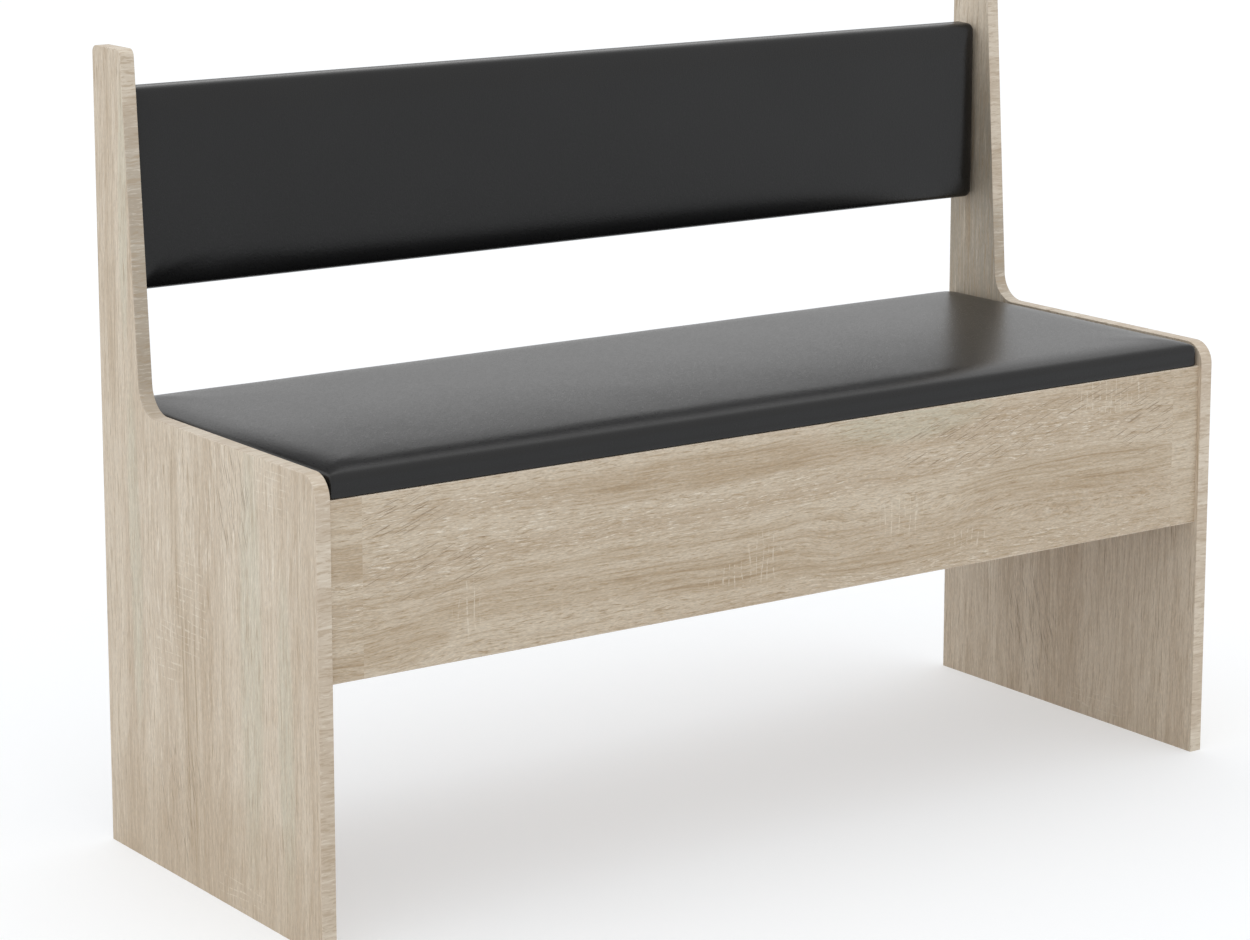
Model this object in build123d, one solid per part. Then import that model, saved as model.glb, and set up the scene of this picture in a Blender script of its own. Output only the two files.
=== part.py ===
from build123d import *
import math
import os

os.makedirs("parts", exist_ok=True)

# A two-seat storage bench: two shaped side panels carry a box with an upholstered lift-up lid
# and a narrow upholstered back pad. Lengths are in millimetres and angles in degrees.
# X runs along the seat, the front faces -Y, and the origin is on the floor below the middle.
bench_width = 1180.0
bench_depth = 443.0
bench_height = 857.0

# Laminated boards and the plastic edging glued round them
board_thickness = 16.0
edging_thickness = 1.0
edging_arris_radius = 0.6

# Side panels: a level armrest runs back to an upright whose front edge leans
arm_height = 482.0
arm_nose_radius = 25.0
upright_depth_at_top = 61.5
upright_depth_at_arm = 87.0
upright_root_radius = 32.0
upright_top_radius = 8.0

# Storage box: front and rear panels, a hardboard bottom in grooves and a rail that carries it
box_underside = 273.0
front_panel_height = 183.0
panel_setback = 5.0
bottom_thickness = 3.0
bottom_rise = 20.0
bottom_end_play = 0.5
groove_depth = 8.0
groove_play = 0.2
rail_width = 60.0

# Cam fasteners and dowels that hold the box together
cam_radius = 7.5
cam_depth = 12.5
cam_end_distance = 34.0
cam_edge_distance = 37.0
bolt_thread_radius = 2.5
bolt_thread_length = 10.5
bolt_shank_radius = 3.5
bolt_neck_radius = 2.0
bolt_head_radius = 3.0
bolt_head_length = 3.0
dowel_radius = 4.0
dowel_length = 30.0
dowel_depth_in_face = 10.0
dowel_chamfer = 1.0
dowel_spacing = 32.0
fastener_play = 0.1
cam_slot_width_share = 0.2
cam_slot_span_share = 1.3
cam_slot_depth_share = 0.25

# Upholstered pads: a board with a foam layer, wrapped in a cover that turns under its edges
cover_thickness = 1.0
board_arris_radius = 1.0
seat_corner_radius = 3.0
back_corner_radius = 8.0
foam_side_height = 1.0
foam_edge_radius = 7.0
crown_rise = 6.0
crown_run = 35.0
cover_turn_under = 50.0
lining_thickness = 0.6
lining_inset = 40.0

# Seat lid and back pad
lid_end_gap = 4.0
lid_rest_gap = 0.3
back_pad_end_gap = 4.0
back_pad_underside = 602.0
back_pad_height = 213.0
back_pad_inset = 21.0

# Butt hinges between the lid and the rear panel
hinge_length = 60.0
hinge_end_distance = 110.0
leaf_width = 14.0
leaf_thickness = 1.2
leaf_gap = 0.6
knuckle_radius = 2.3
knuckle_count = 5
knuckle_play = 0.3
pin_radius = 1.2
pin_play = 0.05
pin_head_radius = 1.9
pin_head_length = 0.8
hinge_screw_spacing = 40.0
hinge_screw_length = 15.0
hinge_screw_head_radius = 2.7
hinge_screw_shank_radius = 1.5

# Angle brackets that hold the back pad between the uprights
bracket_thickness = 2.0
bracket_pad_leg = 36.0
bracket_upright_leg = 18.0
bracket_height = 22.0
bracket_spread = 120.0
bracket_corner_radius = 3.0
bracket_screw_length = 14.0
bracket_screw_head_radius = 3.5
bracket_screw_shank_radius = 1.75
bracket_screw_margin = 8.0

# Shared proportions of screws
screw_tip_share = 0.2
recess_width_share = 0.28
recess_span_share = 1.1
recess_depth_share = 0.4

# Cuts that pass right through a board start and end this far outside it
cut_overrun = 4.0

quarter_turn = 90.0
half_turn = 180.0
sides = (-1, 1)

# Places that several pieces share
side_inner_x = bench_width / 2 - board_thickness
inner_width = 2 * side_inner_x
front_edge_y = -bench_depth / 2
back_edge_y = bench_depth / 2
front_face_y = front_edge_y + panel_setback
rear_face_y = back_edge_y - panel_setback
front_inner_y = front_face_y + board_thickness
rear_inner_y = rear_face_y - board_thickness
front_panel_top = box_underside + front_panel_height
bottom_underside = box_underside + bottom_rise
lid_underside = front_panel_top + lid_rest_gap
rear_panel_top = lid_underside - 2 * leaf_thickness - leaf_gap
hinge_axis_y = rear_face_y + knuckle_play + knuckle_radius
hinge_axis_z = lid_underside - leaf_thickness - leaf_gap / 2
lid_length = inner_width - 2 * lid_end_gap
lid_depth = rear_face_y - front_face_y
back_pad_length = inner_width - 2 * back_pad_end_gap
back_pad_rear_y = back_edge_y - back_pad_inset
back_pad_middle = back_pad_underside + back_pad_height / 2

# Heights of the cams and dowels at each end of the front and rear panels
cam_heights = (box_underside + cam_edge_distance, front_panel_top - cam_edge_distance)
dowel_heights = (cam_heights[0] + dowel_spacing, cam_heights[1] - dowel_spacing)


def block(low, high):
    size = [top - bottom for bottom, top in zip(low, high)]
    return Location(low) * Box(*size, align=Align.MIN)


def rod(radius, length, place, turn=(0, 0, 0)):
    """A cylinder that starts at place and runs along its turned Z."""
    on_end = (Align.CENTER, Align.CENTER, Align.MIN)
    return Location(place, turn) * Cylinder(radius, length, align=on_end)


def along_x(direction):
    """The turn that points a part's Z along +X or -X."""
    return (0, quarter_turn * direction, 0)


def along_y(direction):
    """The turn that points a part's Z along +Y or -Y."""
    return (-quarter_turn * direction, 0, 0)


def group(shapes):
    return Compound(children=[solid for shape in shapes for solid in shape.solids()])


# Fasteners

hinge_screw_size = (hinge_screw_head_radius, hinge_screw_shank_radius, hinge_screw_length)
bracket_screw_size = (bracket_screw_head_radius, bracket_screw_shank_radius, bracket_screw_length)


def screw_blank(head_radius, shank_radius, length, play=0):
    """A countersunk screw without its recess, its head's face at the origin, driven towards -Z."""
    head_height = head_radius - shank_radius
    outline = Polyline(
        (0, 0),
        (head_radius + play, 0),
        (shank_radius + play, -head_height),
        (shank_radius + play, -length * (1 - screw_tip_share)),
        (0, -length - play),
        close=True,
    )
    return revolve(Plane.XZ * make_face(outline), Axis.Z)


def cross_recess(head_radius):
    span = recess_span_share * head_radius
    width = recess_width_share * head_radius
    depth = recess_depth_share * head_radius
    return Box(span, width, 2 * depth) + Box(width, span, 2 * depth)


def screw(head_radius, shank_radius, length):
    return screw_blank(head_radius, shank_radius, length) - cross_recess(head_radius)


def hinge_screw():
    return screw(*hinge_screw_size)


def hinge_screw_space():
    return screw_blank(*hinge_screw_size, fastener_play)


def bracket_screw():
    return screw(*bracket_screw_size)


def bracket_screw_space():
    return screw_blank(*bracket_screw_size, fastener_play)


def dowel(play=0):
    """A fluteless dowel about its middle, along Z."""
    body = Cylinder(dowel_radius + play, dowel_length + 2 * play)
    return body if play else chamfer(body.edges().filter_by(GeomType.CIRCLE), dowel_chamfer)


def cam_bolt(play=0):
    """A cam bolt along Z, its shoulder against the side panel at the origin and its thread below."""
    neck_start = cam_end_distance - cam_radius
    head_start = cam_end_distance - bolt_head_length / 2
    return (
        rod(bolt_thread_radius + play, bolt_thread_length + play, (0, 0, 0), (half_turn, 0, 0))
        + rod(bolt_shank_radius + play, neck_start, (0, 0, 0))
        + rod(bolt_neck_radius + play, cam_radius, (0, 0, neck_start))
        + rod(bolt_head_radius + play, bolt_head_length + play, (0, 0, head_start))
    )


def bolt_bore():
    """The straight hole for a cam bolt, from a panel's end to the middle of its cam pocket."""
    return rod(bolt_shank_radius + fastener_play, cam_end_distance, (0, 0, 0))


# Where the fasteners go


def panel_middle_y(facing):
    """Middle of the front panel's thickness for -1, of the rear panel's for +1."""
    return facing * (rear_face_y - board_thickness / 2)


def cam_bolt_places(side):
    return [
        Location((side * side_inner_x, panel_middle_y(facing), height), along_x(-side))
        for facing in sides
        for height in cam_heights
    ]


def end_dowel_places(side):
    middle_x = side * (side_inner_x + dowel_depth_in_face - dowel_length / 2)
    return [
        Location((middle_x, panel_middle_y(facing), height), along_x(side))
        for facing in sides
        for height in dowel_heights
    ]


def rail_dowel_places(facing):
    middle_y = facing * (rear_inner_y + dowel_depth_in_face - dowel_length / 2)
    height = bottom_underside - board_thickness / 2
    reach = dowel_spacing / 2
    return [Location((across * reach, middle_y, height), along_y(facing)) for across in sides]


def cam_places(facing):
    """Centres of a panel's cam pockets on its inner face, pointing into the panel."""
    middle_x = side_inner_x - cam_end_distance
    return [
        Location((side * middle_x, facing * rear_inner_y, height), along_y(facing))
        for side in sides
        for height in cam_heights
    ]


def hinge_middles():
    reach = lid_length / 2 - hinge_end_distance
    return (-reach, 0, reach)


def hinge_screw_places(direction):
    """Screw heads on the leaves, driven up into the lid for +1 and down into the rear panel for -1."""
    turn = (half_turn, 0, 0) if direction > 0 else (0, 0, 0)
    height = hinge_axis_z + direction * leaf_gap / 2
    return [
        Location((middle + across * hinge_screw_spacing / 2, panel_middle_y(1), height), turn)
        for middle in hinge_middles()
        for across in sides
    ]


def bracket_heights():
    return [back_pad_middle + up * bracket_spread / 2 for up in sides]


def pad_screw_places():
    near = side_inner_x - back_pad_end_gap - bracket_screw_margin
    far = side_inner_x - bracket_pad_leg + bracket_screw_margin
    return [
        Location((side * across, back_pad_rear_y + bracket_thickness, height), along_y(1))
        for side in sides
        for height in bracket_heights()
        for across in (near, far)
    ]


def upright_screw_places(side):
    middle_y = back_pad_rear_y + bracket_upright_leg - bracket_screw_margin
    return [
        Location((side * (side_inner_x - bracket_thickness), middle_y, height), along_x(-side))
        for height in bracket_heights()
    ]


# Side panels


def side_outline():
    """Outline of a side panel with its edging, in Y and Z, carried on below the floor."""
    front_root = (back_edge_y - upright_depth_at_arm, arm_height)
    front_top = (back_edge_y - upright_depth_at_top, bench_height)
    back_top = (back_edge_y, bench_height)
    nose = (front_edge_y, arm_height)
    face = make_face(
        Polyline(
            (front_edge_y, -cut_overrun),
            nose,
            front_root,
            front_top,
            back_top,
            (back_edge_y, -cut_overrun),
            close=True,
        )
    )
    rounding = {
        nose: arm_nose_radius,
        front_root: upright_root_radius,
        front_top: upright_top_radius,
        back_top: upright_top_radius,
    }
    for point, radius in rounding.items():
        face = fillet(face.vertices().sort_by_distance((*point, 0))[0], radius)
    return face


def above_floor(face, side):
    """Stands a Y-Z face up as a board of the side panel's thickness, cut level at the floor."""
    slab = extrude(Plane.YZ * face, board_thickness)
    floor_x = side_inner_x if side > 0 else -bench_width / 2
    slab = Location((floor_x, 0, 0)) * slab
    return slab & block((-bench_width, -bench_depth, 0), (bench_width, bench_depth, bench_height))


def side_panel(side):
    """The laminated board inside its edging, drilled on its inner face."""
    panel = above_floor(offset(side_outline(), -edging_thickness), side)
    panel -= [place * cam_bolt(fastener_play) for place in cam_bolt_places(side)]
    panel -= [place * dowel(fastener_play) for place in end_dowel_places(side)]
    panel -= [place * bracket_screw_space() for place in upright_screw_places(side)]
    return panel


def side_edging(side):
    """The band glued round the panel's edges, with its two long arrises eased."""
    outline = side_outline()
    board = above_floor(outline, side)
    arrises = board.edges().filter_by(lambda edge: edge.bounding_box().size.X < edging_thickness)
    board = fillet(arrises.filter_by(lambda edge: edge.center().Z > 0), edging_arris_radius)
    return board - above_floor(offset(outline, -edging_thickness), side)


# Storage box


def long_panel_top(facing):
    return rear_panel_top if facing > 0 else front_panel_top


def long_panel_block(facing, low, high):
    """A block as long and as thick as the front or rear panel, between two heights."""
    faces = sorted((facing * rear_inner_y, facing * rear_face_y))
    return block((-side_inner_x, faces[0], low), (side_inner_x, faces[1], high))


def groove(facing):
    """The slot for the hardboard bottom, in a panel's inner face."""
    faces = sorted((facing * (rear_inner_y - cut_overrun), facing * (rear_inner_y + groove_depth)))
    reach = side_inner_x + cut_overrun
    top = bottom_underside + bottom_thickness + groove_play
    return block((-reach, faces[0], bottom_underside), (reach, faces[1], top))


def long_panel(facing):
    """The front panel for -1 and the rear panel for +1, without their edging strips."""
    low = box_underside + edging_thickness
    panel = long_panel_block(facing, low, long_panel_top(facing) - edging_thickness)
    panel -= groove(facing)
    panel -= [place * rod(cam_radius, cam_depth, (0, 0, 0)) for place in cam_places(facing)]
    for side in sides:
        panel -= [place * bolt_bore() for place in cam_bolt_places(side)]
        panel -= [place * dowel(fastener_play) for place in end_dowel_places(side)]
    panel -= [place * dowel(fastener_play) for place in rail_dowel_places(facing)]
    if facing > 0:
        panel -= [place * hinge_screw_space() for place in hinge_screw_places(-1)]
    return panel


def long_panel_edging(facing):
    """The strips along a panel's lower and upper edges."""
    top = long_panel_top(facing)
    lower = long_panel_block(facing, box_underside, box_underside + edging_thickness)
    lower = fillet(lower.edges().filter_by(Axis.X).group_by(Axis.Z)[0], edging_arris_radius)
    upper = long_panel_block(facing, top - edging_thickness, top)
    upper = fillet(upper.edges().filter_by(Axis.X).group_by(Axis.Z)[-1], edging_arris_radius)
    if facing > 0:
        upper -= [place * hinge_screw_space() for place in hinge_screw_places(-1)]
    return group([lower, upper])


def box_bottom():
    half_length = side_inner_x - bottom_end_play
    half_depth = rear_inner_y + groove_depth - bottom_end_play
    low = (-half_length, -half_depth, bottom_underside)
    return block(low, (half_length, half_depth, bottom_underside + bottom_thickness))


def bottom_rail():
    """A flat rail under the middle of the bottom, dowelled into both long panels."""
    low = (-rail_width / 2, front_inner_y, bottom_underside - board_thickness)
    rail = block(low, (rail_width / 2, rear_inner_y, bottom_underside))
    for facing in sides:
        rail -= [place * dowel(fastener_play) for place in rail_dowel_places(facing)]
    return rail


def cam(place, bolt_places):
    """A cam in its pocket: a short cylinder with a cross slot, hollow where the bolt's head enters."""
    body = place * rod(cam_radius - fastener_play, cam_depth - fastener_play, (0, 0, 0))
    width = cam_slot_width_share * cam_radius
    span = cam_slot_span_share * cam_radius
    depth = cam_slot_depth_share * cam_depth
    body -= place * (Box(span, width, 2 * depth) + Box(width, span, 2 * depth))
    return body - [bolt_place * cam_bolt(fastener_play) for bolt_place in bolt_places]


def cams():
    bolt_places = cam_bolt_places(-1) + cam_bolt_places(1)
    return group([cam(place, bolt_places) for facing in sides for place in cam_places(facing)])


def cam_bolts():
    return group([place * cam_bolt() for side in sides for place in cam_bolt_places(side)])


def dowels():
    places = [place for side in sides for place in end_dowel_places(side) + rail_dowel_places(side)]
    return group([place * dowel() for place in places])


# Upholstered pads, made lying flat: the board's underside is at Z zero and the crown faces up


def crown_slope():
    """How steeply the crown's arc meets the rounded edge, in radians."""
    return 2 * math.atan(crown_rise / crown_run)


def pad_section(span, skin):
    """Cross-section of a pad on a board of this span, grown by the thickness of its skin."""
    slope = crown_slope()
    crown_radius = crown_run / math.sin(slope)
    slope_angle = math.degrees(slope)
    foot = (span / 2 - board_arris_radius, board_arris_radius)
    edge = (span / 2 - foam_edge_radius, board_thickness + foam_side_height)
    ridge = (edge[0] + foam_edge_radius * math.sin(slope), edge[1] + foam_edge_radius * math.cos(slope))
    crown = (ridge[0] - crown_run, ridge[1] + crown_rise - crown_radius)
    side_x = span / 2 + skin
    right = [
        Line((0, -skin), (foot[0], -skin)),
        CenterArc(foot, board_arris_radius + skin, -quarter_turn, quarter_turn),
        Line((side_x, foot[1]), (side_x, edge[1])),
        CenterArc(edge, foam_edge_radius + skin, 0, quarter_turn - slope_angle),
        CenterArc(crown, crown_radius + skin, quarter_turn - slope_angle, slope_angle),
        Line((crown[0], crown[1] + crown_radius + skin), (0, crown[1] + crown_radius + skin)),
        Line((0, crown[1] + crown_radius + skin), (0, -skin)),
    ]
    half = make_face(right)
    return half + mirror(half, about=Plane.YZ)


def pad_form(length, width, corner_radius, skin):
    """A crowned pad: the lengthwise and crosswise sections meet in mitres at its corners."""
    lengthwise = extrude(Plane.YZ * pad_section(width, skin), length / 2 + skin, both=True)
    crosswise = extrude(Plane.XZ * pad_section(length, skin), width / 2 + skin, both=True)
    plan = RectangleRounded(length + 2 * skin, width + 2 * skin, corner_radius + skin)
    return lengthwise & crosswise & extrude(plan, pad_thickness(), both=True)


def pad_thickness():
    """From the cover's underside to the top of the crown."""
    foam = foam_side_height + foam_edge_radius * math.cos(crown_slope()) + crown_rise
    return board_thickness + foam + 2 * cover_thickness


def board_slab(length, width):
    return block((-length, -width, 0), (length, width, board_thickness))


def pad_board(length, width, corner_radius):
    return pad_form(length, width, corner_radius, 0) & board_slab(length, width)


def pad_foam(length, width, corner_radius):
    return pad_form(length, width, corner_radius, 0) - board_slab(length, width)


def pad_cover(length, width, corner_radius):
    """The skin round board and foam, open under the board inside the turned-under margin."""
    shell = pad_form(length, width, corner_radius, cover_thickness)
    shell -= pad_form(length, width, corner_radius, 0)
    half_length = length / 2 + cover_thickness - cover_turn_under
    half_width = width / 2 + cover_thickness - cover_turn_under
    low = (-half_length, -half_width, -cover_thickness - cut_overrun)
    return shell - block(low, (half_length, half_width, board_thickness / 2))


def pad_lining(length, width):
    """The cloth that hides the margin's raw edges, stapled over them."""
    half_length = length / 2 + cover_thickness - lining_inset
    half_width = width / 2 + cover_thickness - lining_inset
    low = (-half_length, -half_width, -cover_thickness - lining_thickness)
    return block(low, (half_length, half_width, -cover_thickness))


seat_board_size = (lid_length - 2 * cover_thickness, lid_depth - 2 * cover_thickness)
back_board_size = (back_pad_length - 2 * cover_thickness, back_pad_height - 2 * cover_thickness)
seat_place = Location((0, (front_face_y + rear_face_y) / 2, lid_underside + cover_thickness))
back_place = Location((0, back_pad_rear_y - cover_thickness, back_pad_middle), along_y(-1))


def seat_piece(shape):
    return seat_place * shape - [place * hinge_screw_space() for place in hinge_screw_places(1)]


def back_piece(shape):
    return back_place * shape - [place * bracket_screw_space() for place in pad_screw_places()]


# Hinges


def leaf(middle_x, direction):
    """A hinge leaf with its knuckles: on the lid for +1, on the rear panel for -1."""
    inner = hinge_axis_z + direction * leaf_gap / 2
    outer = inner + direction * leaf_thickness
    low_z, high_z = sorted((inner, outer))
    left = middle_x - hinge_length / 2
    plate = block((left, rear_face_y - leaf_width, low_z), (left + hinge_length, rear_face_y, high_z))
    pitch = hinge_length / knuckle_count
    knuckle_length = pitch - knuckle_play
    first = 0 if direction < 0 else 1
    for index in range(first, knuckle_count, 2):
        start = left + index * pitch + knuckle_play / 2
        plate += rod(knuckle_radius, knuckle_length, (start, hinge_axis_y, hinge_axis_z), along_x(1))
        plate += block((start, rear_face_y, low_z), (start + knuckle_length, hinge_axis_y, high_z))
    bore_start = (left - cut_overrun, hinge_axis_y, hinge_axis_z)
    plate -= rod(pin_radius + pin_play, hinge_length + 2 * cut_overrun, bore_start, along_x(1))
    return plate - [place * hinge_screw_space() for place in hinge_screw_places(direction)]


def leaves(direction):
    return group([leaf(middle, direction) for middle in hinge_middles()])


def hinge_pin(middle_x):
    """A pin with a flat head at each end of its row of knuckles."""
    left_end, right_end = (
        (middle_x + side * hinge_length / 2, hinge_axis_y, hinge_axis_z) for side in sides
    )
    pin = rod(pin_radius, hinge_length, left_end, along_x(1))
    pin += rod(pin_head_radius, pin_head_length, left_end, along_x(-1))
    return pin + rod(pin_head_radius, pin_head_length, right_end, along_x(1))


# Back brackets


def back_bracket(side, height):
    """An angle that lies on the pad's rear face and turns back along the upright."""
    low_z = height - bracket_height / 2
    high_z = height + bracket_height / 2
    pad_leg = (side_inner_x - bracket_pad_leg, bracket_thickness)
    upright_leg = (side_inner_x - bracket_thickness, bracket_upright_leg)
    angle = Part()
    for inner_x, depth in (pad_leg, upright_leg):
        left, right = sorted((side * inner_x, side * side_inner_x))
        angle += block((left, back_pad_rear_y, low_z), (right, back_pad_rear_y + depth, high_z))
    free_corners = angle.edges().filter_by(Axis.Y).sort_by(Axis.X, reverse=side > 0)[-2:]
    angle = fillet(free_corners, bracket_corner_radius)
    angle -= [place * bracket_screw_space() for place in pad_screw_places()]
    return angle - [place * bracket_screw_space() for place in upright_screw_places(side)]


def back_brackets():
    return group([back_bracket(side, height) for side in sides for height in bracket_heights()])


def bracket_screws():
    places = pad_screw_places() + upright_screw_places(-1) + upright_screw_places(1)
    return group([place * bracket_screw() for place in places])


nodes = {
    "left_side_panel": side_panel(-1),
    "right_side_panel": side_panel(1),
    "left_panel_edging": side_edging(-1),
    "right_panel_edging": side_edging(1),
    "front_panel": long_panel(-1),
    "front_panel_edging": long_panel_edging(-1),
    "rear_panel": long_panel(1),
    "rear_panel_edging": long_panel_edging(1),
    "box_bottom": box_bottom(),
    "bottom_rail": bottom_rail(),
    "cam_locks": cams(),
    "cam_bolts": cam_bolts(),
    "wood_dowels": dowels(),
    "back_board": back_piece(pad_board(*back_board_size, back_corner_radius)),
    "back_foam": back_place * pad_foam(*back_board_size, back_corner_radius),
    "back_cover": back_piece(pad_cover(*back_board_size, back_corner_radius)),
    "back_lining": back_place * pad_lining(*back_board_size),
    "back_brackets": back_brackets(),
    "bracket_screws": bracket_screws(),
    "seat_board": seat_piece(pad_board(*seat_board_size, seat_corner_radius)),
    "seat_foam": seat_place * pad_foam(*seat_board_size, seat_corner_radius),
    "seat_cover": seat_piece(pad_cover(*seat_board_size, seat_corner_radius)),
    "seat_lining": seat_place * pad_lining(*seat_board_size),
    "hinge_panel_leaves": leaves(-1),
    "hinge_lid_leaves": leaves(1),
    "hinge_pins": group([hinge_pin(middle) for middle in hinge_middles()]),
    "hinge_panel_screws": group([place * hinge_screw() for place in hinge_screw_places(-1)]),
    "hinge_lid_screws": group([place * hinge_screw() for place in hinge_screw_places(1)]),
}

for name, shape in nodes.items():
    export_step(shape, f"parts/{name}.step")
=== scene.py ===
import math

import bmesh
import bpy
from mathutils import Matrix, Vector, noise


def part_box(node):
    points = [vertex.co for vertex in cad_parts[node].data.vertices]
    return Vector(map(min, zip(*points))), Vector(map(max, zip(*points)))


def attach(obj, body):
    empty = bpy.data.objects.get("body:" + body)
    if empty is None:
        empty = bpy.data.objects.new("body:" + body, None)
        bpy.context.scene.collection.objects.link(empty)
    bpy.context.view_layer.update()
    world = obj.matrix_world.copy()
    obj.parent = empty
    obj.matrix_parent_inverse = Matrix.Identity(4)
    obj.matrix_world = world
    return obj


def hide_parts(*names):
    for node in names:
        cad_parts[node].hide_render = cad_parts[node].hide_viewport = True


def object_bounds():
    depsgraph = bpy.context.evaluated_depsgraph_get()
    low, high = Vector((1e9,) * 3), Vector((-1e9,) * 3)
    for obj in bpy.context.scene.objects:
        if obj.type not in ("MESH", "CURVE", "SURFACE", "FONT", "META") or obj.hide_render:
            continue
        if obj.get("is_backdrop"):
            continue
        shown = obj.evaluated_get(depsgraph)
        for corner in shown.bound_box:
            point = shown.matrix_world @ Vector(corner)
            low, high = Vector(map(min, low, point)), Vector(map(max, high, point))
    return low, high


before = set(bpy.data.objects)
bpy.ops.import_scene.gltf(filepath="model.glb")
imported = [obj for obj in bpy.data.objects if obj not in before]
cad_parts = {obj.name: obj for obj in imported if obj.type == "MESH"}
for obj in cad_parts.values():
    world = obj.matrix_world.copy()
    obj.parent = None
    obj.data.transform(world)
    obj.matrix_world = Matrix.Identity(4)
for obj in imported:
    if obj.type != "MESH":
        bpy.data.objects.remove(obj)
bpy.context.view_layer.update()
scene = bpy.context.scene
print("frame loaded,", len(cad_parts), "nodes")


def mm(value):  # sizes are written in millimetres, the scene is in metres
    return value / 1000


def srgb(red, green, blue):  # a screen colour, 0 to 255, as the linear colour a shader takes
    def linear(level):
        level = level / 255
        return level / 12.92 if level <= 0.04045 else ((level + 0.055) / 1.055) ** 2.4
    return (linear(red), linear(green), linear(blue), 1.0)


mixSockets = {"first": 6, "second": 7, "result": 2}  # the colour sockets of a Mix node


# Shader maths: a Wire is one output socket, and sums on Wires add Math nodes
class Wire:
    def __init__(self, tree, socket):
        self.tree = tree
        self.socket = socket

    def add(self, kind, settings=None, sockets=None, out=0):
        node = self.tree.nodes.new("ShaderNode" + kind)
        for name, value in (settings or {}).items():
            setattr(node, name, value)
        for name, value in (sockets or {}).items():
            if isinstance(value, Wire):
                self.tree.links.new(value.socket, node.inputs[name])
            else:
                node.inputs[name].default_value = value
        return Wire(self.tree, node.outputs[out] if node.outputs else None)

    def math(self, operation, *values):
        return self.add("Math", {"operation": operation}, dict(enumerate(values)))

    def __add__(self, other):
        return self.math("ADD", self, other)

    def __radd__(self, other):
        return self.math("ADD", other, self)

    def __sub__(self, other):
        return self.math("SUBTRACT", self, other)

    def __rsub__(self, other):
        return self.math("SUBTRACT", other, self)

    def __mul__(self, other):
        return self.math("MULTIPLY", self, other)

    def __truediv__(self, other):
        return self.math("DIVIDE", self, other)

    def __abs__(self):
        return self.math("ABSOLUTE", self)

    def greatest(self, other):
        return self.math("MAXIMUM", self, other)

    def ease(self, low, high):  # 0 at low, 1 at high, smooth between, either way round
        limits = {"Value": self, "From Min": low, "From Max": high}
        return self.add("MapRange", {"interpolation_type": "SMOOTHSTEP"}, limits)

    def parts(self):
        split = self.tree.nodes.new("ShaderNodeSeparateXYZ")
        self.tree.links.new(self.socket, split.inputs[0])
        return [Wire(self.tree, socket) for socket in split.outputs]

    def noise(self, sides, rates, detail, roughness):  # rates: how often it varies per metre of each side
        turns = {axis: side * rate for axis, side, rate in zip("XYZ", sides, rates)}
        place = self.add("CombineXYZ", None, turns)
        sockets = {"Vector": place, "Scale": 1.0, "Detail": detail, "Roughness": roughness}
        return self.add("TexNoise", None, sockets)

    def mixColors(self, first, second):  # self is the share of the second colour
        colors = {"Factor": self, mixSockets["first"]: first, mixSockets["second"]: second}
        return self.add("Mix", {"data_type": "RGBA"}, colors, out=mixSockets["result"])

    def bump(self, height, depth):  # a relief this deep, in millimetres
        return self.add("Bump", None, {"Strength": 1.0, "Distance": mm(depth), "Height": height})


def emptyTree(holder):
    holder.use_nodes = True
    holder.node_tree.nodes.clear()
    return Wire(holder.node_tree, None)


def newMaterial(name):
    material = bpy.data.materials.new(name)
    return material, emptyTree(material).add("TexCoord", out="Object")


def finishMaterial(place, sockets):
    shader = place.add("BsdfPrincipled", None, sockets)
    place.add("OutputMaterial", None, {"Surface": shader})


def wear(material, *nodeNames):  # puts a finish on carried-over CAD nodes
    for name in nodeNames:
        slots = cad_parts[name].data.materials
        slots.clear()
        slots.append(material)


# Oak print: pale greige laminate, its grain running along one axis of the bench
oakTones = {
    "pale": srgb(214, 200, 179),
    "plain": srgb(201, 184, 161),
    "brown": srgb(176, 153, 122),
    "vein": srgb(166, 142, 110),
    "green": srgb(203, 197, 176),
    "pore": srgb(132, 110, 84),
    "fleck": srgb(235, 226, 210),
    # a dark grey: painted shade on the right board's stem, and a darker grey on parts of the edge banding
    "darkGreyAndShade": srgb(146, 137, 121),
}

# Each noise of the print: its rates along, across and through the grain, its detail and its roughness.
# Along the grain, dashes and flecks are counted in dashes, and the rest per metre.
oakNoises = {
    "waver": ((2.2, 5, 1), 2, 0.5),
    "ripples": ((36, 90, 1), 1, 0.5),
    "bands": ((0.9, 22, 1), 2, 0.55),
    "patches": ((1.4, 16, 1), 2, 0.5),
    "veins": ((4, 200, 1), 3, 0.65),
    "streaks": ((16, 340, 1), 3, 0.7),
    "dashes": ((1, 640, 1), 3, 0.7),
    "flecks": ((0.9, 560, 1), 3, 0.75),
    "fibre": ((200, 1600, 1), 1, 0.5),
    "poreGroups": ((9, 30, 1), 1, 0.5),
    "rungWander": ((60, 14, 1), 1, 0.5),
    "rungGroups": ((6, 8, 1), 1, 0.5),
    "rungBreaks": ((150, 180, 1), 2, 0.7),
    "checks": ((30, 620, 1), 2, 0.5),
    "checkGroups": ((5, 9, 1), 1, 0.5),
}

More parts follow.
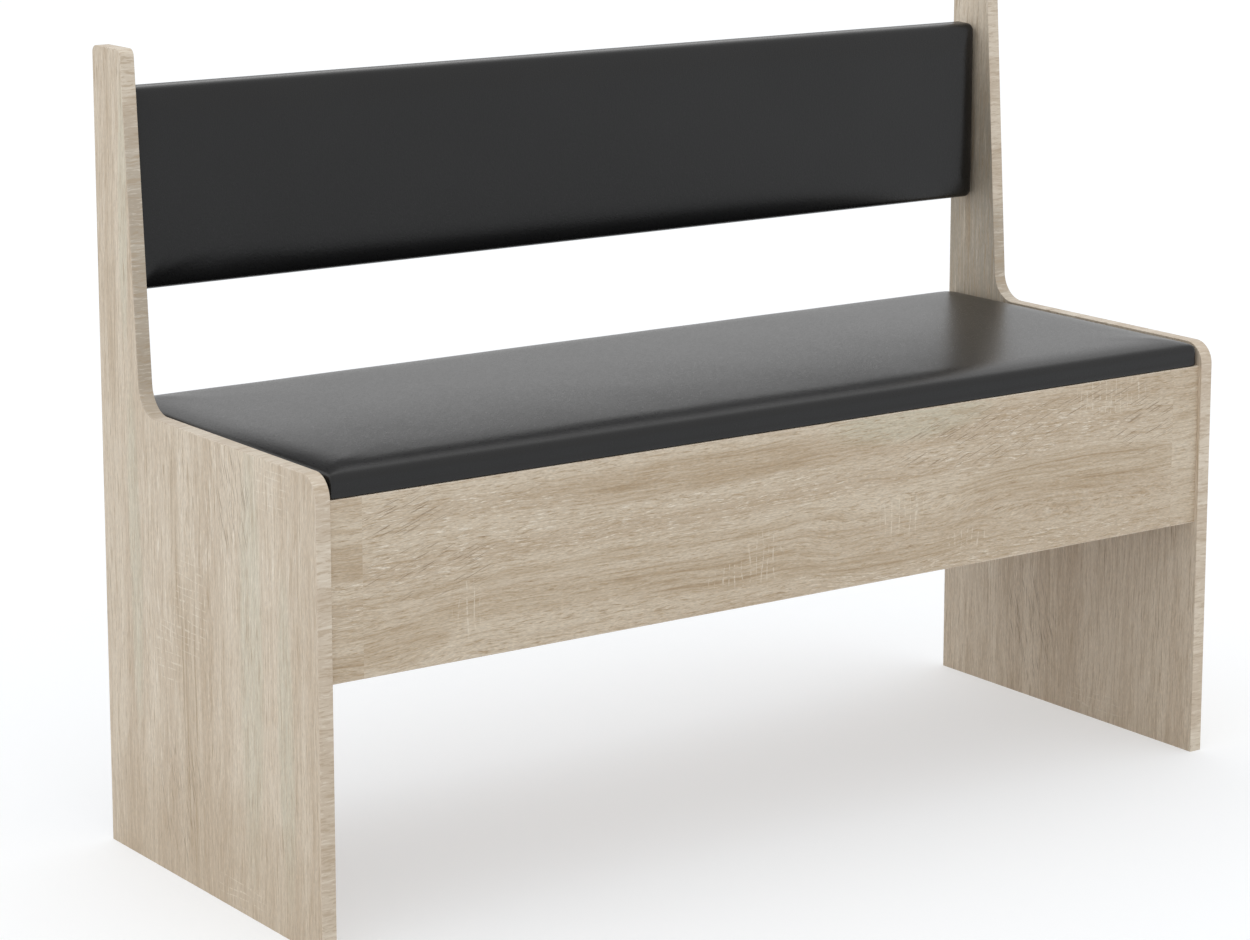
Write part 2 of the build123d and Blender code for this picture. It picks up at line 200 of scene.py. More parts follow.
# The grain's strokes in the order they are laid on: the noise, where it starts to show and where it is full,
# its share in the plain print or the look's name for that, what a brown patch adds to it, and the tone
oakStrokes = [
    ("veins", (0.53, 0.64), 0.15, 0.55, "vein"),
    ("veins", (0.44, 0.36), 0.10, 0.50, "pale"),
    ("streaks", (0.52, 0.62), "contrast", 0.0, "brown"),
    ("streaks", (0.46, 0.36), "contrast", 0.0, "pale"),
    ("dashes", (0.52, 0.66), 0.75, 0.0, "brown"),
]
grainLook = {
    "layerRate": 20,
    "noiseMean": 0.5,
    "veinRipple": 1.5,
    "patchShift": 5.0,
    "patchesShow": (0.55, 0.72),
    "patchShare": 0.5,
    "bandsShow": (0.38, 0.60),
    "fleckLayer": 5,
    "flecksShow": (0.55, 0.66),
    "flecksLostInBrown": 0.5,
    "crackleShare": 0.5,
    "fibreShare": 0.6,
    "poresShow": (0.64, 0.72),
    "poreGroupsShow": (0.42, 0.58),
    "poreShare": 0.5,
    "roughness": 0.46,
    "fibreRoughness": 0.16,
    "relief": 0.12,
    "grainHeight": 0.4,
    "checkHeight": 0.8,
}

# Marks of the saw and fine checks, both gathered in groups
sawLook = {
    "rungRate": 720,
    "rungWander": 11,
    "rungsShow": (0.80, 1.0),
    "groupLayer": 3,
    "groupsShow": (0.64, 0.78),
    "groupShare": 0.3,
    "breaksShow": (0.42, 0.56),
    "share": 0.5,
}
checkLook = {
    "checksShow": (0.58, 0.68),
    "groupLayer": 9,
    "groupsShow": (0.62, 0.78),
    "groupShare": 0.4,
    "share": 0.62,
}
spotFades = (1.4, 0.4)  # the squared distances where a spot has faded out and where it is full


def spot(along, across, patch):  # 1 inside an oval patch of the print, fading out round it
    middleAlong, middleAcross, reachAlong, reachAcross = (mm(size) for size in patch)
    offAlong = (along - middleAlong) / reachAlong
    offAcross = (across - middleAcross) / reachAcross
    return (offAlong * offAlong + offAcross * offAcross).ease(*spotFades)


def gathered(along, across, spots, elsewhere):  # where a feature of the print gathers
    for patch in spots:
        elsewhere = elsewhere.greatest(spot(along, across, patch))
    return elsewhere


def oakNoise(kind, *sides):  # the sides are along, across and layer
    return sides[0].noise(sides, *oakNoises[kind])


def oakAxes(place, look):  # along and across the grain, and the layer of the print
    axes = dict(zip("XYZ", place.parts()))
    along, across = axes[look["along"]], axes[look["across"]]
    if "seam" in look:  # the print starts afresh past each end seam
        reach = abs(along)
        past = reach.math("GREATER_THAN", reach, mm(look["seam"]))
        along = along + past * mm(look["seamShift"])
        across = across + past * mm(look["seamRise"])
    return along, across, axes[look["depth"]] * grainLook["layerRate"] + look["seed"]


def oakGrain(along, across, layer, look):
    # slow waves bend the grain, arches swell out of it, and small ripples cross it
    waver = oakNoise("waver", along, across, layer) - grainLook["noiseMean"]
    ring = across + waver * mm(look["waver"])
    for *patch, rise in look["arches"]:
        ring = ring + spot(along, across, patch) * mm(rise)
    ripples = oakNoise("ripples", along, ring, layer) - grainLook["noiseMean"]
    wavy = ring + ripples * mm(look["ripple"])
    patches = oakNoise("patches", along + grainLook["patchShift"], ring, layer)
    patches = patches.ease(*grainLook["patchesShow"]) * grainLook["patchShare"]
    dashed = along * look["dashes"]
    return {
        "ring": ring,
        "brown": gathered(along, ring, look["brownPatches"], patches),
        "bands": oakNoise("bands", along, ring, layer),
        "veins": oakNoise("veins", along, ring + ripples * mm(grainLook["veinRipple"]), layer),
        "streaks": oakNoise("streaks", along, wavy, layer),
        "dashes": oakNoise("dashes", dashed, wavy, layer),
        "flecks": oakNoise("flecks", dashed, wavy, layer + grainLook["fleckLayer"]),
        "fibre": oakNoise("fibre", along, wavy, layer),
    }


def oakColor(along, grain, look):
    ring, brown = grain["ring"], grain["brown"]
    bands = grain["bands"].ease(*grainLook["bandsShow"])
    color = bands.mixColors(oakTones["pale"], oakTones["plain"])
    color = (brown * look["brownDepth"]).mixColors(color, oakTones["brown"])
    # tints of the print, and on the side boards patches of painted shade
    for patch, tone, share in look["tintsAndShade"]:
        color = (spot(along, ring, patch) * share).mixColors(color, oakTones[tone])
    for kind, shows, share, brownShare, tone in oakStrokes:
        share = look.get(share, share) + brown * brownShare
        color = (grain[kind].ease(*shows) * share).mixColors(color, oakTones[tone])
    crackled = gathered(along, ring, look["crackled"], brown * 0) * grainLook["crackleShare"]
    flecks = grain["flecks"].ease(*grainLook["flecksShow"]) * (1 - brown * grainLook["flecksLostInBrown"])
    color = (flecks * (crackled + look["flecks"])).mixColors(color, oakTones["fleck"])
    value = look["value"] + (grain["fibre"] - grainLook["noiseMean"]) * grainLook["fibreShare"]
    levels = {"Saturation": look["saturation"], "Value": value, "Color": color}
    return color.add("HueSaturation", None, levels)


def oakPores(along, across, layer, dashes):  # short dark pores along the grain
    groups = oakNoise("poreGroups", along, across, layer).ease(*grainLook["poreGroupsShow"])
    return dashes.ease(*grainLook["poresShow"]) * groups


def oakSawMarks(along, across, layer, look):  # light rungs across the grain
    wander = oakNoise("rungWander", along, across, layer) * sawLook["rungWander"]
    rungs = wander.math("SINE", along * sawLook["rungRate"] + wander).ease(*sawLook["rungsShow"])
    groups = oakNoise("rungGroups", along, across, layer + sawLook["groupLayer"])
    groups = groups.ease(*sawLook["groupsShow"]) * sawLook["groupShare"]
    breaks = oakNoise("rungBreaks", along, across, layer).ease(*sawLook["breaksShow"])
    return rungs * gathered(along, across, look["ladders"], groups) * breaks


def oakChecks(along, across, layer, look):  # fine slanting checks
    slantAlong = along + across * look["slant"]
    slantAcross = across - along * look["slant"]
    checks = oakNoise("checks", slantAlong, slantAcross, layer).ease(*checkLook["checksShow"])
    groups = oakNoise("checkGroups", along, across, layer + checkLook["groupLayer"])
    groups = groups.ease(*checkLook["groupsShow"]) * checkLook["groupShare"]
    return checks * gathered(along, across, look["checks"], groups)


def oakMaterial(name, look):
    material, place = newMaterial(name)
    along, across, layer = oakAxes(place, look)
    grain = oakGrain(along, across, layer, look)
    pores = oakPores(along, across, layer, grain["dashes"])
    rungs = oakSawMarks(along, across, layer, look)
    checks = oakChecks(along, across, layer, look)
    color = oakColor(along, grain, look)
    color = (pores * grainLook["poreShare"]).mixColors(color, oakTones["pore"])
    color = (rungs * sawLook["share"]).mixColors(color, oakTones["fleck"])
    color = (checks * checkLook["share"]).mixColors(color, oakTones["pore"])
    height = (grain["flecks"] - grain["dashes"] - pores) * grainLook["grainHeight"]
    finishMaterial(place, {
        "Base Color": color,
        "Roughness": grainLook["roughness"] + grain["fibre"] * grainLook["fibreRoughness"],
        "Normal": place.bump(height - checks * grainLook["checkHeight"], grainLook["relief"]),
    })
    return material


# What differs from board to board. A patch is its middle along and across the grain and its reach along and
# across, in millimetres; an arch has its rise as well.
# The side boards' print value is set higher than the front board's: painted light, the side boards standing
# lit from the left and the front one darker.
frontOak = {
    "along": "X", "across": "Z", "depth": "Y", "seed": 3.1,
    "waver": 26, "slant": 0.35, "value": 0.962, "saturation": 1.0,
    "brownDepth": 0.4, "flecks": 0.36, "contrast": 0.46, "dashes": 62, "ripple": 3.5,
    "seam": 536, "seamShift": 410, "seamRise": 35,
    "arches": [(120, 318, 110, 44, 7), (-330, 310, 200, 40, -6), (420, 350, 180, 36, -9)],
    "brownPatches": [(-250, 352, 340, 7), (-260, 318, 300, 14), (390, 352, 170, 26), (-110, 428, 200, 20),
                     (60, 300, 260, 10), (-490, 300, 60, 20)],
    "tintsAndShade": [((150, 445, 110, 26), "green", 0.7)],
    "crackled": [(-440, 410, 140, 50), (-120, 385, 260, 26), (330, 400, 190, 40), (250, 285, 300, 16)],
    "ladders": [(-416, 326, 18, 30), (-46, 322, 24, 30), (138, 342, 34, 24), (232, 303, 30, 12),
                (440, 438, 60, 22), (-85, 310, 40, 14)],
    "checks": [(-460, 372, 90, 30), (-490, 432, 60, 24), (260, 415, 150, 34), (430, 428, 90, 28),
               (490, 400, 60, 34)],
}
sideOak = {
    "along": "Z", "across": "Y", "depth": "X", "seed": 11.4,
    "waver": 26, "slant": 0.3, "value": 1.05, "saturation": 0.9,
    "brownDepth": 0.4, "flecks": 0.3, "contrast": 0.35, "dashes": 26, "ripple": 2.5,
    "arches": [(300, -60, 260, 60, 8), (420, 90, 180, 50, -6)],
    "brownPatches": [(170, 40, 190, 20), (330, 60, 160, 10), (640, 190, 200, 12)],
    "tintsAndShade": [((270, -84, 230, 26), "green", 0.7), ((330, 150, 180, 14), "green", 0.7),
               ((200, -160, 170, 16), "green", 0.7), ((700, 160, 150, 10), "green", 0.7),
               # this brown patch darkens the left board towards its foot: painted shade by the floor
               ((0, 0, 130, 260), "brown", 0.35)],
    "crackled": [(400, -60, 90, 150), (270, 110, 200, 40)],
    "ladders": [(300, 36, 60, 36), (453, -137, 30, 36), (240, 85, 40, 30), (20, -60, 16, 50)],
    "checks": [(420, -60, 60, 40), (90, 60, 70, 50)],
}
rearOak = dict(frontOak, seed=21.7, ladders=[], checks=[], brownPatches=[], arches=[])
# The right board's dark grey patch over its stem is painted shade, cast by the back pad, seat and box beside
# it.
rightOak = dict(sideOak, seed=14.9, value=1.065, tintsAndShade=[((560, 150, 200, 110), "darkGreyAndShade", 0.68)],
                brownPatches=[(260, 100, 170, 14), (640, 190, 200, 12)])
railOak = dict(sideOak, along="Y", across="X", depth="Z", seed=5.2, ladders=[], checks=[])
wear(oakMaterial("oakFront", frontOak), "front_panel")
wear(oakMaterial("oakRear", rearOak), "rear_panel")
wear(oakMaterial("oakLeft", sideOak), "left_side_panel")
wear(oakMaterial("oakRight", rightOak), "right_side_panel")
wear(oakMaterial("oakRail", railOak), "bottom_rail")
print("oak print on the boards")

# Edge banding: the same print with its streaks running over the board's thickness
edgingLook = {
    "wander": ((60, 60, 60), 1, 0.5),
    "wanderReach": 4.0,
    "streaks": ((30, 380, 380), 3, 0.75),
    "bands": ((8, 20, 20), 2, 0.5),
    "bandsShow": (0.40, 0.60),
    "darkShows": (0.52, 0.62),
    "darkShare": 0.6,
    "paleShows": (0.46, 0.36),
    "paleShare": 0.4,
    "darkGreyShare": 0.4,
    "saturation": 0.88,
    "value": 1.05,
    "roughness": 0.42,
    "streakRoughness": 0.12,
    "relief": 0.12,
}


def edgingMaterial(name, overAxis, darkGreyPatches):
    material, place = newMaterial(name)
    axes = dict(zip("XYZ", place.parts()))
    over = axes.pop(overAxis)
    first, second = axes.values()
    wander = place.noise((over, first, second), *edgingLook["wander"]) * mm(edgingLook["wanderReach"])
    streaks = place.noise((over, first + wander, second + wander), *edgingLook["streaks"])
    bands = place.noise((over, first, second), *edgingLook["bands"])
    color = bands.ease(*edgingLook["bandsShow"]).mixColors(oakTones["pale"], oakTones["plain"])
    # the banding darker and greyer in the listed patches
    for patch in darkGreyPatches:
        color = (spot(second, first, patch) * edgingLook["darkGreyShare"]).mixColors(color, oakTones["darkGreyAndShade"])
    dark = streaks.ease(*edgingLook["darkShows"]) * edgingLook["darkShare"]
    pale = streaks.ease(*edgingLook["paleShows"]) * edgingLook["paleShare"]
    color = pale.mixColors(dark.mixColors(color, oakTones["brown"]), oakTones["fleck"])
    levels = {"Saturation": edgingLook["saturation"], "Value": edgingLook["value"], "Color": color}
    finishMaterial(place, {
        "Base Color": color.add("HueSaturation", None, levels),
        "Roughness": edgingLook["roughness"] + streaks * edgingLook["streakRoughness"],
        "Normal": place.bump(streaks, edgingLook["relief"]),
    })
    return material


wear(edgingMaterial("leftEdging", "X", [(600, 150, 190, 60)]), "left_panel_edging")
wear(edgingMaterial("rightEdging", "X", [(530, 150, 70, 60)]), "right_panel_edging")
wear(edgingMaterial("panelEdging", "Y", []), "front_panel_edging", "rear_panel_edging")
print("edge banding")

# Plain finishes of the pieces inside and behind: a speckle of two tones, here and there a cloud over it
speckleShows = (0.35, 0.65)
speckleRoughness = 0.2
hardboardLook = {
    "speckle": ((900, 900, 900), 4, 0.7),
    "tones": (srgb(128, 96, 66), srgb(168, 132, 96)),
    "cloud": ((14, 14, 14), 2, 0.5),
    "cloudShows": (0.40, 0.65),
    "cloudShare": 0.3,
    "cloudTone": srgb(112, 82, 56),
    "roughness": 0.62,
    "relief": 0.1,
}
beechLook = {
    "speckle": ((30, 400, 400), 3, 0.6),
    "tones": (srgb(214, 178, 138), srgb(186, 146, 104)),
    "roughness": 0.55,
    "relief": 0.1,
}
chipboardLook = {
    "speckle": ((260, 260, 600), 4, 0.75),
    "tones": (srgb(150, 118, 82), srgb(206, 176, 134)),
    "roughness": 0.75,
    "relief": 0.25,
}


def speckledMaterial(name, look):
    material, place = newMaterial(name)
    sides = place.parts()
    speckle = place.noise(sides, *look["speckle"])
    color = speckle.ease(*speckleShows).mixColors(*look["tones"])
    if "cloud" in look:
        cloud = place.noise(sides, *look["cloud"]).ease(*look["cloudShows"])
        color = (cloud * look["cloudShare"]).mixColors(color, look["cloudTone"])
    finishMaterial(place, {
        "Base Color": color,
        "Roughness": look["roughness"] + speckle * speckleRoughness,
        "Normal": place.bump(speckle, look["relief"]),
    })
    return material


zincLook = {
    "spangle": ((500, 500, 500), 2, 0.5),
    "spangleDrop": 16,
    "brushed": ((200, 2500, 2500), 2, 0.5),
    "brushedRoughness": 0.15,
    "relief": 0.01,
}


def zincMaterial(name, color, roughness):
    material, place = newMaterial(name)
    sides = place.parts()
    spangle = place.noise(sides, *zincLook["spangle"]).ease(*speckleShows)
    brushed = place.noise(sides, *zincLook["brushed"])
    darker = [level - zincLook["spangleDrop"] for level in color]
    finishMaterial(place, {
        "Base Color": spangle.mixColors(srgb(*color), srgb(*darker)),
        "Metallic": 1.0,
        "Roughness": roughness + brushed * zincLook["brushedRoughness"],
        "Normal": place.bump(brushed, zincLook["relief"]),
    })
    return material


zincSteel = zincMaterial("zincSteel", (198, 199, 202), 0.25)
wear(speckledMaterial("hardboard", hardboardLook), "box_bottom")
wear(speckledMaterial("beech", beechLook), "wood_dowels")
wear(speckledMaterial("chipboard", chipboardLook), "seat_board", "back_board")
wear(zincMaterial("castZinc", (176, 177, 180), 0.4), "cam_locks")
wear(zincSteel, "cam_bolts", "back_brackets", "bracket_screws", "hinge_panel_leaves", "hinge_lid_leaves",
     "hinge_pins", "hinge_panel_screws", "hinge_lid_screws")
print("finishes of the pieces inside and behind")

# Faux leather: black, satin, with a fine pebble
leatherLook = {
    "pebbleRate": 560.0,
    "pebbleSmoothness": 0.5,
    "creases": ((260, 260, 260), 3, 0.6),
    "fine": ((1500, 1500, 1500), 1, 0.5),
    "cloud": ((9, 9, 9), 2, 0.5),
    "tones": (srgb(8, 8, 9), srgb(12, 12, 13)),
    "roughness": 0.21,
    "grainRoughness": 0.10,
    "specular": 0.42,
    "fineHeight": 0.3,
    "pebbleHeight": 0.8,
    "relief": 0.10,
}


def leatheretteMaterial():
    material, place = newMaterial("blackLeatherette")
    sides = place.parts()
    cells = {"Scale": leatherLook["pebbleRate"], "Smoothness": leatherLook["pebbleSmoothness"]}
    pebbles = place.add("TexVoronoi", {"feature": "SMOOTH_F1"}, {"Vector": place, **cells})
    creases = place.noise(sides, *leatherLook["creases"])
    fine = place.noise(sides, *leatherLook["fine"])
    cloud = place.noise(sides, *leatherLook["cloud"])
    height = creases + fine * leatherLook["fineHeight"] - pebbles * leatherLook["pebbleHeight"]
    finishMaterial(place, {
        "Base Color": cloud.ease(*speckleShows).mixColors(*leatherLook["tones"]),
        "Roughness": leatherLook["roughness"] + (pebbles + creases) * leatherLook["grainRoughness"],
        "Specular IOR Level": leatherLook["specular"],
        "Normal": place.bump(height, leatherLook["relief"]),
    })
    return material


clothLook = {
    "fuzz": ((1800, 1800, 1800), 3, 0.7),
    "tones": (srgb(30, 30, 31), srgb(48, 48, 50)),
    "dimpleRate": 420.0,
    "roughness": 0.8,
    "fuzzRoughness": 0.15,
    "fuzzHeight": 0.5,
    "relief": 0.15,
}


def clothMaterial():
    material, place = newMaterial("blackLining")
    fuzz = place.noise(place.parts(), *clothLook["fuzz"])
    dimples = place.add("TexVoronoi", None, {"Vector": place, "Scale": clothLook["dimpleRate"]})
    finishMaterial(place, {
        "Base Color": fuzz.ease(*speckleShows).mixColors(*clothLook["tones"]),
        "Roughness": clothLook["roughness"] + fuzz * clothLook["fuzzRoughness"],
        "Normal": place.bump(dimples + fuzz * clothLook["fuzzHeight"], clothLook["relief"]),
    })
    return material


blackLeatherette = leatheretteMaterial()
blackLining = clothMaterial()

# Upholstered pads: both have the same edge, a short straight side, a rounding and a flat crown
padEdge = {
    "sideHeight": 18.0,
    "edgeRadius": 8.0,
    "crownRise": 5.3,
    "crownBlend": 4.0,
    "undersideRadius": 2.0,
    "ripple": 0.25,
    "rippleLength": 85.0,
    "cramp": 0.85,
    "rows": 9,
    "rowBias": 1.7,
    "crownFrom": 0.999,
}
padCloth = {
    "quality": 5,
    "mass": 0.3,
    "pressure": 4.0,
    "frames": 20,
    "heldUpTo": 6.0,
    "swellLimit": 0.45,
}


def padHeight(inset, run):  # how high the cover lies this far in from the pad's side
    radius = mm(padEdge["edgeRadius"])
    rise = mm(padEdge["crownRise"])
    slope = 2 * math.atan(rise / run)
    edgeInset = radius * (1 - math.sin(slope))
    side = mm(padEdge["sideHeight"])
    if inset <= edgeInset:
        return side + math.sqrt(radius ** 2 - (radius - inset) ** 2)
    crownRadius = run / math.sin(slope)
    top = side + radius * math.cos(slope) + rise
    short = max(0.0, edgeInset + run - inset)
    return top - crownRadius + math.sqrt(crownRadius ** 2 - short ** 2)


def softLesser(first, second, blend):  # the lesser of two heights, with their meeting rounded
    overlap = max(0.0, 1 - abs(first - second) / blend)
    return min(first, second) - overlap ** 2 * blend / 4


def cramped(share):  # spreads rows evenly over the middle and close together at the ends
    return (1 - padEdge["cramp"]) * share + padEdge["cramp"] * math.sin(share * math.pi / 2)


def dividedCube(pad):  # a cube from -1 to 1, cut into the pad's columns, lines and rows
    form = bmesh.new()
    bmesh.ops.create_cube(form, size=2)
    for axis, cuts in enumerate((pad["columns"], pad["lines"], padEdge["rows"])):
        edges = [e for e in form.edges if abs(e.verts[0].co[axis] - e.verts[1].co[axis]) > 1]
        bmesh.ops.subdivide_edges(form, edges=edges, cuts=cuts, use_grid_fill=True)
    return form


def padForm(length, width, pad):
    form = dividedCube(pad)
    half = (length / 2, width / 2)
    corner = mm(pad["cornerRadius"])
    under = mm(padEdge["undersideRadius"])
    side = mm(padEdge["sideHeight"])
    for vert in form.verts:
        share = vert.co.copy()
        x, y = (half[i] * cramped(share[i]) for i in (0, 1))
        insets = [half[0] - abs(x), half[1] - abs(y)]
        if share.z > padEdge["crownFrom"]:
            heights = [padHeight(inset, mm(run)) for inset, run in zip(insets, pad["crownRuns"])]
            z = softLesser(*heights, mm(padEdge["crownBlend"]))
            z += noise.noise(Vector((x, y, length)) / mm(padEdge["rippleLength"])) * mm(padEdge["ripple"])
        else:
            z = side * ((share.z + 1) / 2) ** padEdge["rowBias"]
        # round the upright corners in plan
        past = Vector((corner - insets[0], corner - insets[1]))
        if past.x > 0 and past.y > 0:
            past = past * (max(past) / past.length)
            x = math.copysign(half[0] - corner + past.x, x)
            y = math.copysign(half[1] - corner + past.y, y)
        # and the lower arris
        if z < under:
            draw = under - math.sqrt(under ** 2 - (under - z) ** 2)
            x -= draw * x / half[0]
            y -= draw * y / half[1]
        vert.co = (x, y, z)
    return form


def meshPiece(name, form, material):
    mesh = bpy.data.meshes.new(name)
    form.to_mesh(mesh)
    form.free()
    mesh.materials.append(material)
    for polygon in mesh.polygons:
        polygon.use_smooth = True
    piece = bpy.data.objects.new(name, mesh)
    scene.collection.objects.link(piece)
    return piece


def swell(piece):  # cloth simulation: the stretched cover bulges a little over its foam
    verts = piece.data.vertices
    held = piece.vertex_groups.new(name="held")
    held.add([v.index for v in verts if v.co.z < mm(padCloth["heldUpTo"])], 1.0, "REPLACE")
    cover = piece.modifiers.new("cover", "CLOTH")
    cover.settings.quality = padCloth["quality"]
    cover.settings.mass = padCloth["mass"]
    cover.settings.use_pressure = True
    cover.settings.uniform_pressure_force = padCloth["pressure"]
    cover.settings.vertex_group_mass = "held"
    cover.settings.effector_weights.gravity = 0
    for number in range(1, padCloth["frames"] + 1):
        scene.frame_set(number)
    moved = piece.evaluated_get(bpy.context.evaluated_depsgraph_get()).to_mesh()
    limit = mm(padCloth["swellLimit"])
    farthest = 0.0
    for vert, target in zip(verts, moved.vertices):
        shift = target.co - vert.co
        farthest = max(farthest, shift.length)
        if shift.length > 0:
            vert.co += shift * (limit * (1 - math.exp(-shift.length / limit)) / shift.length)
    piece.modifiers.remove(cover)
    piece.vertex_groups.clear()
    scene.frame_set(1)
    print(piece.name, "swelled, farthest point before the limit", round(farthest * 1000, 2), "mm")


def subdivided(piece):
    finer = piece.modifiers.new("finer", "SUBSURF")
    finer.levels = 1
    finer.render_levels = 1


def makePad(name, size, look, turn, body, *nodes):
    pad = meshPiece(name, padForm(*size, look), blackLeatherette)
    swell(pad)
    pad.data.transform(turn)
    subdivided(pad)
    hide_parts(*nodes)
    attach(pad, body)


# Linings: thin black cloth stapled over the cover's turned margin, behind the back and under the seat
liningLook = {
    "thickness": 0.5,
    "hem": 9.0,
    "hemRise": 0.3,
    "gridStep": 9.0,
    "slack": 0.25,
    "slackLength": 60.0,
    "slackReach": 40.0,
}
stapleLook = {
    "inset": 4.5,
    "spacing": 52.0,
    "size": (10.0, 1.1, 0.55),
    "bend": 0.25,
    "bendSegments": 2,
    "tilt": 0.25,
    "tiltSteps": (3.7, 5.1),
}


def liningForm(length, width):  # lies on the plane z = 0 and faces +z
    form = bmesh.new()
    step = mm(liningLook["gridStep"])
    thickness = mm(liningLook["thickness"])
    bmesh.ops.create_grid(form, x_segments=round(length / step), y_segments=round(width / step), size=1)
    bmesh.ops.scale(form, verts=form.verts, vec=(length / 2, width / 2, 1))
    for vert in form.verts:
        x, y = vert.co.xy
        inset = min(length / 2 - abs(x), width / 2 - abs(y))
        hem = mm(liningLook["hemRise"]) if inset < mm(liningLook["hem"]) else 0.0
        wave = (noise.noise(Vector((x, y, 0)) / mm(liningLook["slackLength"])) + 1) * mm(liningLook["slack"])
        vert.co.z = thickness + hem + wave * min(1, inset / mm(liningLook["slackReach"]))
    bmesh.ops.solidify(form, geom=form.faces[:], thickness=thickness)
    bmesh.ops.recalc_face_normals(form, faces=form.faces)
    return form


def addStaple(form, number, side, place, turn):  # one crown, a little askew
    stepAlong, stepSide = stapleLook["tiltSteps"]
    tilt = noise.noise(Vector((number * stepAlong, side * stepSide, turn))) * stapleLook["tilt"]
    staple = bmesh.ops.create_cube(form, size=1)["verts"]
    bmesh.ops.scale(form, verts=staple, vec=[mm(size) for size in stapleLook["size"]])
    bmesh.ops.rotate(form, verts=staple, matrix=Matrix.Rotation(tilt, 3, "Z"))
    bmesh.ops.translate(form, verts=staple, vec=place)
    bmesh.ops.rotate(form, verts=staple, matrix=Matrix.Rotation(turn, 3, "Z"))


def stapleForm(length, width):  # rows of staple crowns round the lining's hem
    form = bmesh.new()
    top = mm(liningLook["thickness"] + liningLook["hemRise"])
    for reach, other, turn in ((length, width, 0), (width, length, math.pi / 2)):
        out = other / 2 - mm(stapleLook["inset"])
        count = round(reach / mm(stapleLook["spacing"]))
        for number in range(count):
            along = (number + 0.5) / count * reach - reach / 2
            for side in (-1, 1):
                addStaple(form, number, side, (along, side * out, top), turn)
    bmesh.ops.bevel(form, geom=form.edges[:], offset=mm(stapleLook["bend"]), affect="EDGES",
                    segments=stapleLook["bendSegments"], profile=0.5, material=-1)
    return form


def makeLining(padName, node, size, turn, body):
    lining = meshPiece(padName + "Lining", liningForm(*size), blackLining)
    lining.data.transform(turn)
    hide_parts(node)
    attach(lining, body)
    staples = meshPiece(padName + "Staples", stapleForm(*size), zincSteel)
    staples.data.transform(turn)
    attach(staples, body)


def placed(low, high, turn, shift=(0, 0, 0)):  # turns a flat piece and moves it to the middle of a box
    return Matrix.Translation((low + high) / 2 + Vector(shift)) @ turn


facingDown = Matrix.Rotation(math.pi, 4, "X")
facingFront = Matrix.Rotation(math.pi / 2, 4, "X")
facingRear = Matrix.Rotation(-math.pi / 2, 4, "X")

seatLook = {"columns": 130, "lines": 60, "cornerRadius": 4.0, "crownRuns": (35.0, 35.0), "endsProud": 1.0}
low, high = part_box("seat_cover")
onSeat = placed(low, high, Matrix(), (0, 0, (low.z - high.z) / 2))
size = (high - low).xy + Vector((2 * mm(seatLook["endsProud"]), 0))
makePad("seatPad", size, seatLook, onSeat, "seat_lid", "seat_cover", "seat_foam")
low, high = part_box("seat_lining")
underSeat = placed(low, high, facingDown, (0, 0, (high.z - low.z) / 2))
makeLining("seat", "seat_lining", (high - low).xy, underSeat, "seat_lid")

backLook = {"columns": 130, "lines": 36, "cornerRadius": 9.0, "crownRuns": (24.0, 35.0)}
low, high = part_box("back_cover")
onBack = placed(low, high, facingFront, (0, (high.y - low.y) / 2, 0))
size = (high.x - low.x, high.z - low.z)
makePad("backPad", size, backLook, onBack, "bench_frame", "back_cover", "back_foam")
low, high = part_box("back_lining")
behindBack = placed(low, high, facingRear, (0, (low.y - high.y) / 2, 0))
size = (high.x - low.x, high.z - low.z)
makeLining("back", "back_lining", size, behindBack, "bench_frame")
print("seat and back pad, their linings and staples")

# Floor, light and camera
floorLook = {
    "reach": 9.0,
    "shade": 0.70,
    "seenShades": (0.622, 0.64, 0.66),
    "lift": 0.41,
}
skyLight = 0.98
lampLook = {"place": (-4.5, 0.6, 2.6), "aim": (0, 0, 0.4), "size": 3.5, "power": 8.0}
cameraLook = {
    "place": (-2281.4, -3127.7, 1260.0),
    "turn": -35.232,
    "tilt": -10.411,
    "sensor": 36,
    "lens": 103.83,
    "rise": -0.128,
}


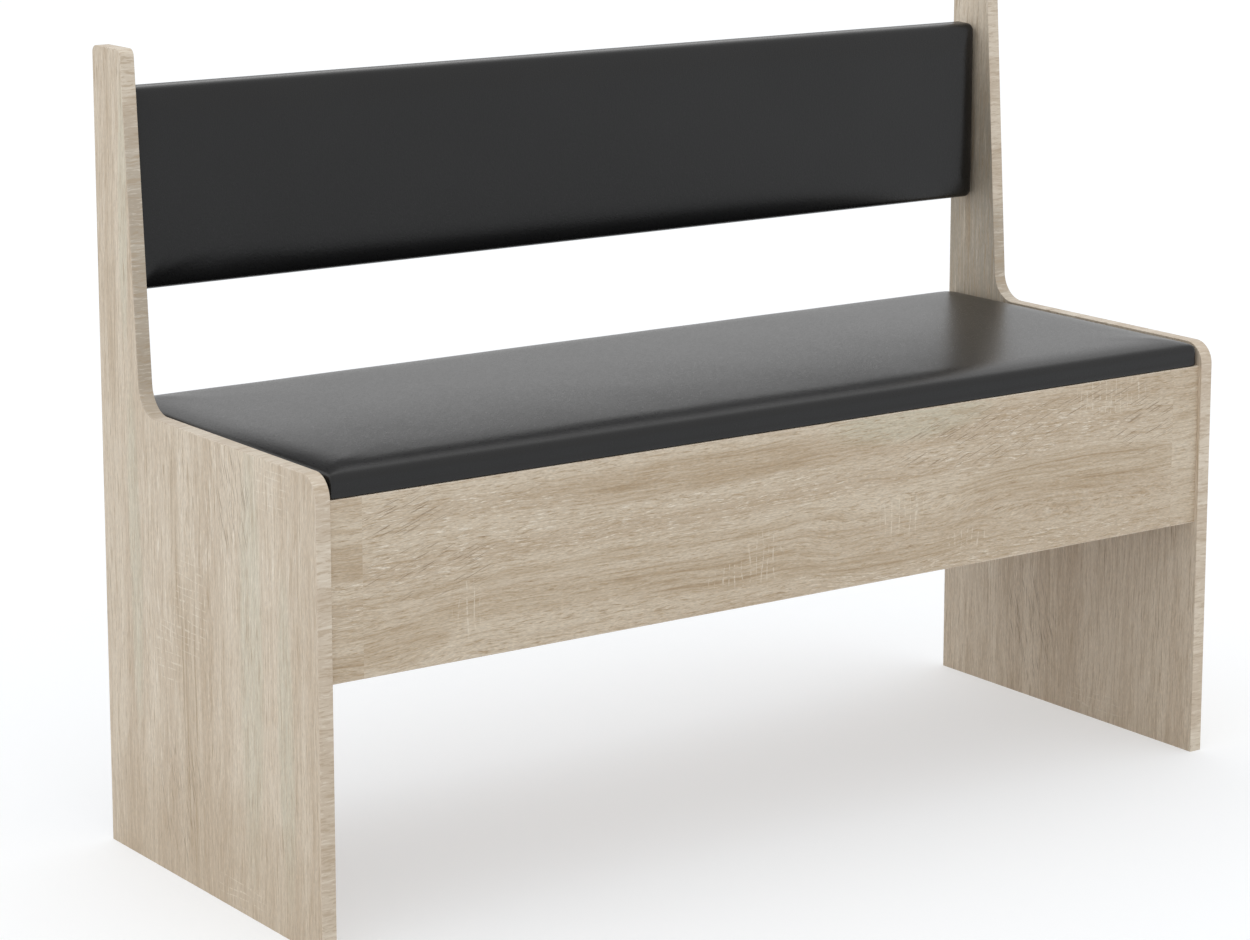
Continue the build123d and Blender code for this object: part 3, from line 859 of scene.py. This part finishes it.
def seenDirectly(start):  # 1 for rays that show the surroundings: straight, mirrored or through glass
    kinds = ("Is Camera Ray", "Is Glossy Ray", "Is Transmission Ray")
    straight, mirrored, through = (start.add("LightPath", out=kind) for kind in kinds)
    return straight.greatest(mirrored).greatest(through)


def makeFloor():
    form = bmesh.new()
    bmesh.ops.create_grid(form, x_segments=2, y_segments=2, size=floorLook["reach"])
    material = bpy.data.materials.new("paleFloor")
    start = emptyTree(material)
    seen = seenDirectly(start)
    shade = floorLook["shade"]
    levels = [shade + seen * (seenShade - shade) for seenShade in floorLook["seenShades"]]
    grey = start.add("CombineColor", None, dict(zip(("Red", "Green", "Blue"), levels)))
    matt = start.add("BsdfDiffuse", None, {"Color": grey})
    lift = start.add("Emission", None, {"Color": (1, 1, 1, 1), "Strength": seen * floorLook["lift"]})
    both = start.add("AddShader", None, {0: matt, 1: lift})
    start.add("OutputMaterial", None, {"Surface": both})
    meshPiece("floor", form, material)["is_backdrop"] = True


def makeSky():
    world = bpy.data.worlds.new("paleRoom")
    scene.world = world
    start = emptyTree(world)
    strength = seenDirectly(start) * (1 - skyLight) + skyLight
    sky = start.add("Background", None, {"Color": (1, 1, 1, 1), "Strength": strength})
    start.add("OutputWorld", None, {"Surface": sky})


def makeLamp():
    lamp = bpy.data.lights.new("sideLamp", "AREA")
    lamp.shape = "DISK"
    lamp.size = lampLook["size"]
    lamp.energy = lampLook["power"]
    holder = bpy.data.objects.new("sideLamp", lamp)
    holder.location = lampLook["place"]
    beam = Vector(lampLook["aim"]) - Vector(lampLook["place"])
    holder.rotation_euler = beam.to_track_quat("-Z", "Y").to_euler()
    scene.collection.objects.link(holder)


def makeCamera():
    camera = bpy.data.cameras.new("photoCamera")
    camera.sensor_width = cameraLook["sensor"]
    camera.lens = cameraLook["lens"]
    camera.shift_y = cameraLook["rise"]
    holder = bpy.data.objects.new("photoCamera", camera)
    holder.location = [mm(length) for length in cameraLook["place"]]
    holder.rotation_euler = (math.radians(90 + cameraLook["tilt"]), 0, math.radians(cameraLook["turn"]))
    scene.collection.objects.link(holder)
    scene.camera = holder


makeFloor()
makeSky()
makeLamp()
makeCamera()
scene.view_settings.view_transform = "Standard"
print("floor, light and camera")

low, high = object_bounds()
